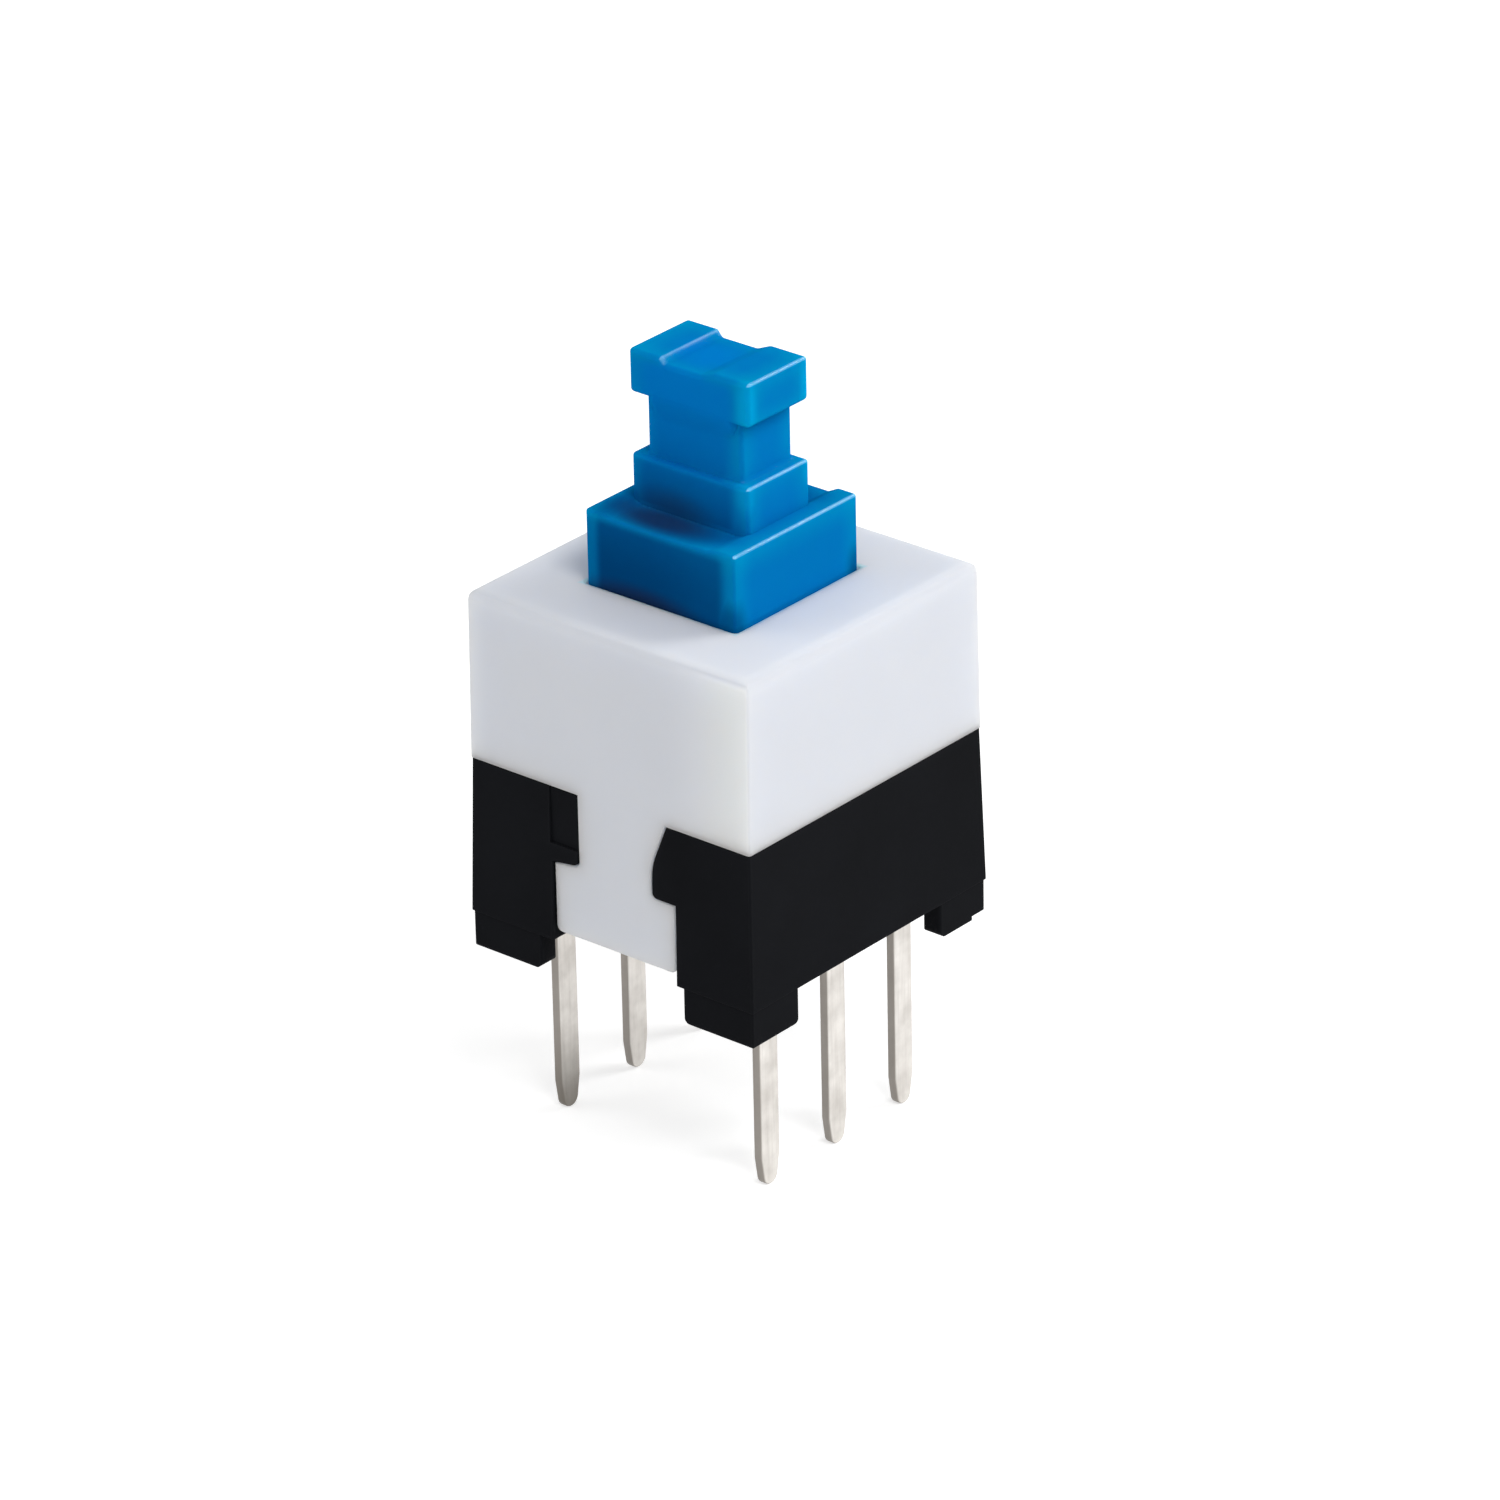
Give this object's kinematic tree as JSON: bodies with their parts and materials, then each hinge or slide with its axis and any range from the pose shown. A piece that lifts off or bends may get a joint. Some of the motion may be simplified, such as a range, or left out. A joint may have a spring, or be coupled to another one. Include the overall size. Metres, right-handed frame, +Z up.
{
  "type": "self-locking push switch",
  "caption": "Square push switch that latches down on a heart-shaped cam, with a T-headed plunger, a clipped cover, corner feet and two rows of flat solder pins.",
  "frame": {"origin": "centre of the field of six pins in the plane of the board, which the four feet stand on", "axes": "+Z up along the plunger, +X across the two rows of pins towards the right row, +Y along the rows"},
  "size_m": [0.0086, 0.0086, 0.0196],
  "materials": {
    "black_base": "fine satin moulded black",
    "milky_cover": "milky, slightly translucent satin plastic",
    "blue_plunger": "clear blue, translucent, soft gloss",
    "spring_steel": "drawn spring wire",
    "contact_bronze": "stamped phosphor bronze",
    "plated_pin": "silver plated, dull sheen"
  },
  "bodies": {
    "housing": {"base": "black_base", "cover": "milky_cover", "return_spring": "spring_steel", "latch_leaf": "contact_bronze", "pin_left_closed": "plated_pin", "pin_left_common": "plated_pin", "pin_left_open": "plated_pin", "pin_right_closed": "plated_pin", "pin_right_common": "plated_pin", "pin_right_open": "plated_pin"},
    "plunger": {"plunger": "blue_plunger", "contact_left": "contact_bronze", "contact_right": "contact_bronze"},
    "latch": {"latch_pin": "spring_steel"}
  },
  "joints": [
    {"name": "press", "type": "slide", "parent": "housing", "child": "plunger", "axis": [0, 0, -1], "range_m": [0, 0.0025], "stiffness_N_per_m": 400, "springref_m": -0.00125, "deforming": ["return_spring"]},
    {"name": "latch_swing", "type": "hinge", "parent": "housing", "child": "latch", "pos_m": [0, -0.00273, 0.00142], "axis": [0, 1, 0], "range_deg": [0, 15]}
  ],
  "couplings": [
    {"joint": "latch_swing", "follows": "press", "rad_per_m": 104.71}
  ]
}
